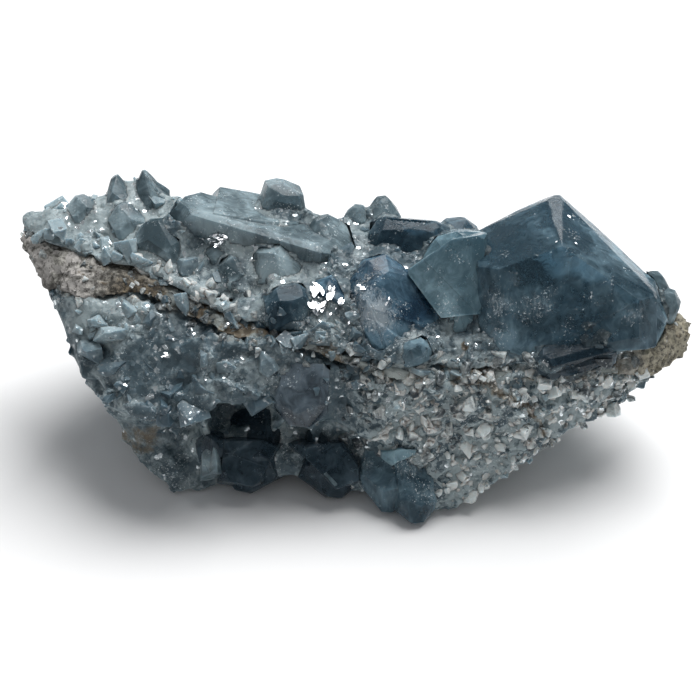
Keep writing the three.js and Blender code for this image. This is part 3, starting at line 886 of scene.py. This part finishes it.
def grow(graph, points, seed, size, sink, lean):
    """Small crystals on those points. size is their least and greatest length in millimetres, sink how deep a
    crystal is set as a share of its size, and lean how far it tips away from the surface's normal."""

    def drawn(kind, offset, limits):
        return graph.add("FunctionNodeRandomValue", {"data_type": kind}, limits | {"Seed": seed + offset})

    def drawn_vector(offset, reach):
        return drawn("FLOAT_VECTOR", offset, {0: (-reach,) * 3, 1: (reach,) * 3})

    share = {"Min": 0.0, "Max": 1.0}
    way = graph.vector("ADD", points.part("Normal"), drawn_vector(1, lean))
    spin = graph.add("ShaderNodeCombineXYZ", None, {2: drawn("FLOAT", 2, {"Min": 0.0, "Max": 2 * math.pi})})
    aligned = {"Rotation": graph.add("FunctionNodeEulerToRotation", None, {0: spin}), "Vector": way}
    turned = graph.add("FunctionNodeAlignRotationToVector", {"axis": "Z"}, aligned)
    chance = drawn("FLOAT", 3, share)
    length = (size[0] + (size[1] - size[0]) * chance * chance) * mm
    stretch = graph.vector("ADD", drawn_vector(4, 0.22), (1.0, 1.0, 1.0))
    shapes = graph.add(
        "GeometryNodeCollectionInfo",
        {"transform_space": "ORIGINAL"},
        {"Collection": prototypes, "Separate Children": True, "Reset Children": True},
    )
    grown = graph.add("GeometryNodeInstanceOnPoints", None, {
        "Points": points,
        "Instance": shapes,
        "Pick Instance": True,
        "Instance Index": drawn("INT", 5, {4: 0, 5: len(prototypes.objects) - 1}),
        "Rotation": turned,
        "Scale": graph.vector("SCALE", stretch, Scale=length),
    })
    lowered = {"Instances": grown, "Translation": (0, 0, 0.5 - sink)}
    sunk = graph.add("GeometryNodeTranslateInstances", None, lowered)
    return keep(graph, sunk, "chance", drawn("FLOAT", 6, share), "INSTANCE")


def spread(graph, geometry, seed, spacing, mask):
    """Points on the surface at least that many millimetres apart, where the mask is above 0."""
    return graph.add("GeometryNodeDistributePointsOnFaces", {"distribute_method": "POISSON"}, {
        "Mesh": geometry,
        "Distance Min": spacing * mm,
        "Density Max": 1.6 / (spacing * mm) ** 2,
        "Density Factor": mask,
        "Seed": seed,
    })


def patches(graph, place, size, share):
    """1 over about that share of the surface, in patches of about that size, and 0 elsewhere."""
    return graph.noise(place, size, 3, 0.6) > 0.66 - share * 0.32


# ---------------------------------------------------------------- crystals that lean on others

def slab(name, centre, size, turn, material, planes):
    """One more crystal: a block cut by planes, each given by its way and its distance from the centre.
    Lengths are in millimetres, and turn is in degrees."""
    centre = Vector(centre)
    piece = block(name, Vector(size) * mm, location=centre * mm, rotation=(0, 0, math.radians(turn)))
    bpy.ops.object.mode_set(mode="OBJECT")
    bpy.ops.object.transform_apply(location=True, rotation=True, scale=True)
    bpy.ops.object.mode_set(mode="EDIT")
    for way, distance in planes:
        way = Vector(way).normalized()
        cut_off((centre + way * distance) * mm, way)
    bpy.ops.object.mode_set(mode="OBJECT")
    draw = random.Random(name)
    chip(piece, draw, count=8, depth=0.9 * mm)
    cleave(piece, draw, cuts=2, rise=0.12 * mm)
    finish_crystal(piece, 0.8 * mm, material)


# The block that a prism is cut from and how high its foot lies, in millimetres, and how much its sides taper.
prism_block = (26, 18, 24)
prism_foot = 0.3
prism_taper = 0.2


def prism(name, centre, depth, front, outline, material):
    """A crystal whose sides show that outline from the front, in millimetres right of and above the middle,
    counterclockwise. front is the way that its front face points, and depth how far that lies before its
    centre."""
    centre = Vector(centre)
    from_middle = centre - camera_target / mm
    planes = [(front, depth), ((0, 0, -1), centre.z - prism_foot)]
    for (right, up), (next_right, next_up) in zip(outline, outline[1:] + outline[:1]):
        side, rise = next_up - up, right - next_right
        length = math.hypot(side, rise)
        out = (side * (right - from_middle.x) + rise * (up - from_middle.dot(upwards))) / length
        way = (Vector((side, 0, 0)) + upwards * rise) / length + away * prism_taper
        planes.append((way, out / way.length))
    slab(name, centre, prism_block, 0, material, planes)


prism("flat_foot_crystal", (-22.7, -24.0, 8.4), 4.2, (0.05, -0.88, 0.47), [
    (-28.0, -18.2), (-28.4, -28.6), (-21.3, -29.9), (-19.2, -29.0), (-14.4, -20.3), (-18.4, -18.4),
], dark_shaded_glass)
prism("pointed_foot_crystal", (-30.9, -25.0, 11.1), 4.3, (-0.3, -0.85, 0.4), [
    (-29.0, -17.3), (-32.2, -22.1), (-32.0, -27.6), (-27.6, -26.7), (-27.8, -21.3),
], pale_glass)
prism("long_foot_crystal", (-6.2, -25.0, 7.8), 4.9, (0.1, -0.88, 0.47), [
    (-14.0, -20.5), (-6.7, -27.2), (-3.3, -30.5), (2.5, -28.6), (2.5, -25.1), (-1.0, -18.8), (-10.4, -19.2),
], dark_shaded_glass)
prism("short_foot_crystal", (-5.2, -26.0, 5.6), 6.0, (0.2, -0.85, 0.47), [
    (-6.7, -24.4), (-6.9, -26.7), (-3.6, -30.3), (-1.0, -29.5), (-4.6, -25.1),
], pale_glass)
prism("teal_foot_crystal", (9.7, -25.0, 11.1), 5.0, (0.1, -0.9, 0.42), [
    (5.9, -21.3), (6.3, -23.4), (8.8, -25.5), (14.6, -23.0), (15.5, -20.3), (10.4, -20.1),
], teal_glass)
slab("pale_flank", (20, -6, 46), (20, 24, 30), 0, teal_glass, [
    ((-0.12, -0.85, 0.51), 4.9),
    ((-0.637, 0.202, -0.744), 3.4),
    ((-0.58, 0.489, 0.652), 5.5),
    ((-0.153, 0.508, 0.847), 7.2),
    ((0.1, -0.6, -0.79), 9.2),
    ((0.0, 0.98, 0.2), 7.5),
    ((1.0, 0.0, 0.0), 7.3),
])
slab("blade_shoulder", (-22, 6.5, 51), (21, 13, 13), -8, pale_glass, [
    ((0.2, 0.08, 0.98), 2.9),
    ((0.1, -0.8, 0.6), 6.0),
    ((-0.8, 0.1, 0.6), 8.6),
    ((0.8, 0.2, 0.6), 9.0),
    ((0.1, 0.9, 0.5), 6.6),
])
slab("peak_flank", (-46.5, 14, 51.5), (12, 9, 12), 0, pale_glass, [
    ((-0.85, 0.15, 0.5), 0.5),
    ((0.1, -0.75, 0.66), 3.5),
    ((0.75, -0.3, 0.59), 4.7),
    ((0.0, 0.98, 0.2), 1.4),
])


# ---------------------------------------------------------------- beds and seam

crevice_mm = 3.6
hollow_mm = 0.35
border_mm = 36
coarse_mm = 0.8
fine_mm = 0.62
seam_mm = 0.72
least_crumb_faces = 300


def bed_height(graph, place, x, y, z):
    """Broken celestite: flats of two sizes, in millimetres, shallower between the crystals."""
    large = tilted_cells(graph, warped(graph, place, 5.0, (0.8, 1.0, 1.1)), 6.5, 1.7, 0.5)
    middle = tilted_cells(graph, warped(graph, place, 2.5, (0.7, 1.0, 1.2)), 3.0, 0.9, 0.5)
    crumbly = graph.noise(place, 9, 2).ramp(0.4, 0.6) * 0.6 + 0.4
    open_share = distance_mm(graph, all_crystals).ramp(1.2, 3.5)
    return (large + middle * crumbly) * (open_share * 0.6 + 0.4) + open_share * hollow_mm


def sugar_height(graph, place, x, y, z):
    """The finest flats, in millimetres."""
    crumbly = graph.noise(place, 9, 2).ramp(0.45, 0.6) * 0.9
    broken_face = x.ramp(0, 8) * y.ramp(-8, -14)
    return tilted_cells(graph, warped(graph, place, 1.0), 1.6, 0.5, 0.5) * crumbly.high(broken_face)


def rock_height(graph, place, x, y, z):
    """Gritty rock, in millimetres, drawn in where celestite has grown over it."""
    grit = (graph.noise(place, 3.0, 6, 0.75) - 0.5) * 3.0 + tilted_cells(graph, place, 1.3, 0.6, 0.4)
    grown_over = (x + (graph.noise(place, 7) - 0.5) * 16).ramp(-58, -38) * x.ramp(62, 56)
    return grit * (1 - grown_over * 0.5) - 0.1 - grown_over * 0.5


def grows_on(crystal, bed):
    """Whether a crystal reaches above the border for the upper bed, or below it for the lower bed."""
    low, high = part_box(crystal)
    return high.z > border_mm * mm if bed == beds[0] else low.z < border_mm * mm


def swell(piece, by_mm):
    """Moves a piece's surface outwards, or inwards where the value is negative."""
    apply_modifier(piece, "DISPLACE", strength=by_mm * mm, mid_level=0.0)


def remesh(piece, size_mm):
    """Makes a piece one closed surface again, with faces of that size."""
    apply_modifier(piece, "REMESH", mode="VOXEL", voxel_size=size_mm * mm)


def finish_surface(piece, graph, geometry, material, node):
    """Applies the marks of a bed or the seam, and gives it its shading and material."""
    apply_graph(piece, graph, geometry)
    smooth(piece, bed_smoothing)
    dress(piece, material, [node])
    surfaces[node] = piece


fat_crystals = solid_copy(crystal_nodes, "fat_crystals")
swell(fat_crystals, meeting_mm + 0.05)

# A bed is made one with its crystals, swollen until the crevices between them close and shrunk again, and the
# crystals' own shapes are then cut out of it.
surfaces = {}
for node in beds:
    own_crystals = [crystal for crystal in crystal_nodes if grows_on(crystal, node)]
    piece = solid_copy([node] + own_crystals, node + "_surface")
    remesh(piece, coarse_mm)
    swell(piece, crevice_mm)
    remesh(piece, coarse_mm)
    swell(piece, -(crevice_mm + hollow_mm))
    roughen(piece, bed_height)
    remesh(piece, fine_mm)
    roughen(piece, sugar_height)
    apply_modifier(piece, "BOOLEAN", operation="DIFFERENCE", object=fat_crystals, solver="MANIFOLD")
    drop_crumbs(piece, least_crumb_faces)
    graph, geometry = geometry_graph(piece.name + "_marks")
    place, x, y, z = place_mm(graph)
    rust = rustiness(graph, place, x, y, z)
    geometry = keep_tones(graph, geometry, place, paleness(graph, place, x, y, z, node), rust)
    # The faces under the crystals' bases, which the material darkens as painted shade.
    geometry = keep(graph, geometry, "socket", distance_mm(graph, all_crystals) < meeting_mm + 0.1, "FACE")
    geometry = keep(graph, geometry, "broken", x.ramp(-4, 6) * y.ramp(-8, -14) * z.ramp(36, 32))
    finish_surface(piece, graph, geometry, massive, node)


def seam_rust(graph, place, x):
    """Patches of rust in the seam, and a rusty line under the blocks."""
    line = x.ramp(-36, -31) * x.ramp(-8, -12) * graph.noise(place, 3, 4, 0.7).ramp(0.35, 0.5)
    return 0.1 + graph.noise(place, 6, 3).ramp(0.45, 0.6) * 0.5 + line * 0.45


piece = solid_copy([seam], seam + "_surface")
remesh(piece, seam_mm)
roughen(piece, rock_height)
graph, geometry = geometry_graph(piece.name + "_marks")
place, x, y, z = place_mm(graph)
shade = paleness(graph, place, x, y, z, beds[1]) + 0.15
geometry = keep_tones(graph, geometry, place, shade, seam_rust(graph, place, x))
finish_surface(piece, graph, geometry, rock, seam)


# ---------------------------------------------------------------- loose grains

def scatter(name, base, node, seed, spacing, size, sink, lean, where, contrast, material):
    """A piece of small crystals grown on a copy of the base, in the places that where() gives. node is the
    CAD node whose tones they take, and contrast how far their tones differ. spacing is the least distance
    between them, in millimetres, and spread() and grow() say what the other values are."""
    piece = linked(name, base.data.copy())
    graph, geometry = geometry_graph(name + "_growth")
    place, x, y, z = place_mm(graph)
    points = spread(graph, geometry, seed, spacing, where(graph, place, x, y, z))
    grown = grow(graph, points, seed, size, sink, lean)
    whole = graph.add("GeometryNodeRealizeInstances", None, {0: grown})
    chance = graph.add("GeometryNodeInputNamedAttribute", {"data_type": "FLOAT"}, {"Name": "chance"})
    shade = paleness(graph, place, x, y, z, node) + (chance - 0.5) * contrast + 0.05
    whole = keep_tones(graph, whole, place, shade, rustiness(graph, place, x, y, z))
    apply_graph(piece, graph, above_table(graph, whole))
    only(piece)
    bpy.ops.object.shade_flat()
    dress(piece, material)


def upper_druse(graph, place, x, y, z):
    bare = (x.ramp(10, 14) * y.ramp(-8, -12)).high(x.ramp(-44, -40) * x.ramp(-12, -16) * y.ramp(-5, -8))
    return (distance_mm(graph, all_crystals) > 0.5) * x.ramp(-70, -64) * (1 - bare)


def fragments(graph, place, x, y, z):
    broken_face = x.ramp(-6, 0) * y.ramp(-8, -14) * z.ramp(34, 31)
    return broken_face * z.ramp(0.8, 2.5) * (distance_mm(graph, all_crystals) > 0.3)


def lower_druse(graph, place, x, y, z):
    blue_druse = x.ramp(-8, -14) * z.ramp(20, 24) * y.ramp(-4, -10)
    grown = blue_druse.high(patches(graph, place, 8, 0.45) * y.ramp(-8, 0))
    return grown * z.ramp(0.8, 2.5) * (distance_mm(graph, all_crystals) > 0.6)


def on_crystals(graph, place, x, y, z):
    reach = distance_mm(graph, all_beds)
    usual = patches(graph, place, 6, 0.4) * (reach > 0.5) * (reach < 3) * z.ramp(0.8, 2.5)
    hanging = near(graph, place, (-8.5, -25.0, 33.0), 8.0, 6.5)
    broken = near(graph, place, (0.5, -16.5, 36.5), 5.0, 3.5)
    return usual.high(hanging).high(broken)


def on_beds(graph, place, x, y, z):
    return patches(graph, place, 5, 0.5) * (distance_mm(graph, all_crystals) > 0.5) * z.ramp(0.8, 2.5)


def on_seam(graph, place, x, y, z):
    thin = (x + (graph.noise(place, 6) - 0.5) * 14).ramp(-50, -42) * x.ramp(60, 54)
    return thin.high(patches(graph, place, 5, 0.3) * z.ramp(1, 3))


def over_seam(graph, place, x, y, z):
    return patches(graph, place, 7, 0.62) * x.ramp(-44, -38) * x.ramp(32, 26)


def along_seam(graph, place, x, y, z):
    line = distance_mm(graph, seam_copy).ramp(4.5, 2.5) * (distance_mm(graph, all_crystals) > 0.5)
    return line * x.ramp(-50, -44) * x.ramp(62, 56) * z.ramp(0.8, 2.5)


upper, lower = [surfaces[bed] for bed in beds]
# What scatter() takes, in its order: name, base, node, seed, spacing, size, sink, lean and so on.
for row in [
    ("upper_druse", upper, beds[0], 11, 2.1, (3.0, 6.8), 0.75, 0.4, upper_druse, 0.4, druse_glass),
    ("lower_druse", lower, beds[1], 23, 2.5, (3.8, 9.0), 0.75, 0.5, lower_druse, 0.4, druse_glass),
    ("fragments", lower, beds[1], 29, 1.1, (1.4, 4.2), 0.8, 1.0, fragments, 0.55, fragment_glass),
    ("upper_chips", upper, beds[0], 37, 2.0, (1.2, 3.0), 0.8, 0.8, on_beds, 0.4, druse_glass),
    ("lower_chips", lower, beds[1], 41, 2.2, (1.4, 3.4), 0.8, 0.8, on_beds, 0.4, druse_glass),
    ("upper_lip", upper, beds[0], 83, 1.5, (1.3, 3.6), 0.75, 0.9, along_seam, 0.5, fragment_glass),
    ("lower_lip", lower, beds[1], 89, 1.6, (1.3, 3.8), 0.75, 0.9, along_seam, 0.5, fragment_glass),
    ("seam_druse", surfaces[seam], seam, 53, 1.4, (1.4, 3.8), 0.7, 0.9, on_seam, 0.5, fragment_glass),
    ("base_chips", all_crystals, beds[0], 61, 1.5, (1.0, 2.6), 0.72, 0.8, on_crystals, 0.4, druse_glass),
    ("seam_blocks", surfaces[seam], beds[1], 71, 2.2, (2.6, 6.0), 0.62, 0.7, over_seam, 0.4, druse_glass),
]:
    scatter(*row)

for scaffold in [all_beds, all_crystals, seam_copy, fat_crystals, *prototypes.objects]:
    bpy.data.objects.remove(scaffold)
bpy.data.collections.remove(prototypes)


# ---------------------------------------------------------------- veils inside the crystals

# Feathery white veils sealed inside: centre, width and height in millimetres, then lean and turn in degrees.
inner_veils = [
    (30.5, -13.5, 45.0, 13, 9, 20, -10), (37.5, -12.5, 45.5, 12, 8, 35, 15),
    (34.0, -10.0, 49.5, 9, 6, 10, 30), (46.0, -12.0, 44.0, 14, 9, 50, -20),
    (56.0, -13.0, 42.5, 8, 8, 30, 20), (42.0, -8.0, 50.5, 12, 7, 15, -25),
    (31.0, -14.5, 39.5, 10, 7, 40, 10), (49.0, -14.5, 38.5, 12, 6, 25, -15),
    (2.5, -13.5, 44.0, 10, 8, 30, 20), (7.5, -14.0, 40.0, 9, 7, 45, -30), (4.0, -11.0, 46.5, 8, 6, 10, 10),
    (18.5, -9.0, 46.0, 9, 8, 30, -20), (22.0, -10.0, 43.5, 8, 8, 40, 15),
]


def veil_height(graph, place, x, y, z):
    return (graph.noise(place, 4.0, 3) - 0.5) * 3.0


def veil_material(name):
    """White flecks and feathers with clear gaps between them."""
    material, graph, place = new_material(name)
    flecks = graph.noise(place, 0.5 * mm, 3, 0.7).ramp(0.5, 0.62)
    shown = (feathers(graph, place, 2.0 * mm) * (0.5 + flecks * 0.5)).ramp(0.24, 0.42)
    shown = shown * attribute(graph, "fade")
    finish_material(graph, graph.surface({"Base Color": white_fleck, "Roughness": 0.5, "Alpha": shown}))
    return material


def inner_veil(x, y, z, width, height, lean, turn):
    """One thin rippled sheet, which fades out towards its edge."""
    bpy.ops.object.select_all(action="DESELECT")
    bpy.ops.mesh.primitive_grid_add(
        x_subdivisions=24,
        y_subdivisions=18,
        size=1.0,
        location=Vector((x, y, z)) * mm,
        rotation=(math.radians(90 - lean), 0, math.radians(turn)),
    )
    sheet = bpy.context.object
    sheet.name = "inner_veil"
    bpy.ops.object.mode_set(mode="EDIT")
    bpy.ops.mesh.select_all(action="SELECT")
    bpy.ops.transform.resize(value=(width * mm, height * mm, 1.0), orient_type="LOCAL")
    bpy.ops.object.mode_set(mode="OBJECT")
    bpy.ops.object.transform_apply(location=True, rotation=True, scale=True)
    roughen(sheet, veil_height)
    graph, geometry = geometry_graph("veil_fade")
    fade = near(graph, place_mm(graph)[0], (x, y, z), width * 0.5, width * 0.2)
    apply_graph(sheet, graph, keep(graph, geometry, "fade", fade))
    return sheet


veils = joined([inner_veil(*row) for row in inner_veils], "inner_veils")
bpy.ops.object.shade_smooth()
dress(veils, veil_material("white_veil"))


# ---------------------------------------------------------------- splinters

# Bright broken bits as seen from the front: how far right of and above the middle, and how long, in
# millimetres, and turn in degrees.
silvery_bits = [
    (-7.9, 11.9, 3.6, -78), (-7.3, 9.8, 3.8, -75), (-6.9, 8.1, 2.2, -70), (-6.7, 13.2, 2.6, -55),
    (-5.9, 12.3, 1.8, -60), (-3.8, 12.3, 2.8, 66), (-4.6, 10.7, 3.4, 64), (-5.4, 9.0, 2.8, 66),
    (-2.3, 9.8, 2.6, 72), (-2.7, 8.4, 1.2, 60), (-4.2, 7.7, 1.0, 20), (-29.5, 23.0, 1.4, 10),
    (-28.6, 23.6, 1.8, 30), (-27.4, 23.8, 2.0, -10), (-26.1, 23.4, 1.8, -60), (-28.0, 22.4, 1.4, 0),
    (-26.7, 22.4, 1.8, 60), (-28.9, 22.6, 1.6, -20), (-27.3, 23.1, 1.8, 15), (-27.6, 21.9, 1.6, 5),
    (-28.3, 23.0, 1.4, 50), (-39.1, -1.3, 1.2, 10), (-38.2, -1.0, 1.8, 5), (-59.5, 29.9, 1.0, 40),
    (-59.3, 27.6, 1.0, 80), (-53.1, 27.0, 0.9, 20), (1.5, 13.2, 1.4, 20), (2.5, 13.2, 1.8, 0),
    (7.3, 9.8, 1.5, 30), (8.1, 10.9, 1.0, 70), (-0.2, 5.9, 1.4, 80), (47.8, -3.6, 1.1, -40),
    (45.8, 28.0, 1.2, -62), (43.3, 22.6, 1.0, 10), (47.0, 22.4, 0.9, -10), (18.0, 2.9, 1.2, 20),
]
long_bit_mm = 1.5
flake_count = 5
facing_spread = 0.25
stands_out = 0.6 * mm


def splinter(name, draw):
    """A thin flake with an irregular outline, about one unit long."""
    flake = block(name, (1.0, 0.38, 0.1))
    for end, side in [(1, 1), (1, -1), (-1, 1), (-1, -1)]:
        way = Vector((end, side * draw.uniform(0.6, 2.4), draw.uniform(-0.2, 0.4))).normalized()
        cut_off(way * (furthest(flake, way) * draw.uniform(0.45, 0.8)), way, unit_tolerance)
    bpy.ops.object.mode_set(mode="OBJECT")
    return flake


def seen_from_the_front(right, up):
    """The surface that the camera sees that many millimetres right of and above its target."""
    through = camera_target + Vector((right * mm, 0, 0)) + upwards * up * mm
    way = (through - camera.location).normalized()
    return bpy.context.scene.ray_cast(bpy.context.evaluated_depsgraph_get(), camera.location, way)[1]


def splinters(name, rows, facing, material, seed):
    """One piece from copies of a few flakes, each set into the surface at its row's place, and three of them
    for a long row. All face about the same way."""
    draw = random.Random(seed)
    bpy.context.view_layer.update()
    bits = []
    for right, up, length, turn in rows:
        for _ in range(3 if length > long_bit_mm else 1):
            bit_right = right + draw.uniform(-0.25, 0.25) * length
            bit_up = up + draw.uniform(-0.25, 0.25) * length
            bits.append((bit_right, bit_up, length * draw.uniform(0.5, 0.8), turn + draw.uniform(-25, 25)))
    places = [seen_from_the_front(right, up) for right, up, *_ in bits]
    shapes = [splinter("%s_%d" % (name, number), draw) for number in range(flake_count)]
    copies = []
    for place, (*_, length, turn) in zip(places, bits):
        sideways = Vector([draw.uniform(-facing_spread, facing_spread) for _ in range(3)])
        way = (facing + sideways).normalized()
        along = Vector((math.cos(math.radians(turn)), 0, 0)) + upwards * math.sin(math.radians(turn))
        along = along - away * (along.dot(way) / away.dot(way))
        length = length * along.length
        along.normalize()
        shape = draw.choice(shapes).data.copy()
        axes = Matrix((along, way.cross(along), way)).transposed().to_4x4()
        shape.transform(Matrix.Translation(place + away * stands_out) @ axes @ Matrix.Scale(length * mm, 4))
        copies.append(linked(name, shape))
    for shape in shapes:
        bpy.data.objects.remove(shape)
    piece = joined(copies, name)
    bpy.ops.object.shade_flat()
    dress(piece, material)


def silvery_material(name):
    """A fresh fracture that reflects like metal, a little cloudy."""
    material, graph, place = new_material(name)
    cloud = graph.noise(place, 1.0 * mm, 4, 0.6)
    finish_material(graph, graph.surface({
        "Base Color": graph.mix(cloud.ramp(0.35, 0.6), rgb(0.54, 0.558, 0.576), rgb(0.9, 0.93, 0.96)),
        "Roughness": 0.2 + cloud * 0.15,
        "Metallic": 1.0,
    }))
    return material


halfway_to_the_light = Vector((0.15, -0.28, 0.95))
silvery = silvery_material("silvery_fracture")
splinters("silvery_bits", silvery_bits, halfway_to_the_light, silvery, seed=5)


# ---------------------------------------------------------------- table and light

table_size = 4.0
bpy.ops.object.select_all(action="DESELECT")
bpy.ops.mesh.primitive_plane_add(size=table_size)
table = bpy.context.object
table.name = "table"
material, graph, place = new_material("pale_table")
finish_material(graph, graph.surface({"Base Color": rgb(0.86, 0.86, 0.86), "Roughness": 0.7}))
table.data.materials.append(material)


def soft_light(name, place, size, power):
    """A square soft light that faces the specimen."""
    way = Vector((0, 0, 0.02)) - Vector(place)
    bpy.ops.object.light_add(type="AREA", location=place, rotation=way.to_track_quat("-Z", "Y").to_euler())
    light = bpy.context.object
    light.name = name
    light.data.size = size
    light.data.energy = power
    light.visible_transmission = False


soft_light("key", place=(0.16, 0.26, 0.72), size=0.55, power=8.5)

world = bpy.data.worlds.new("room")
bpy.context.scene.world = world
world.use_nodes = True
background = world.node_tree.nodes["Background"]
background.inputs["Color"].default_value = rgb(0.95, 0.97, 1.0)
background.inputs["Strength"].default_value = 0.3
bpy.context.scene.view_settings.view_transform = "Standard"
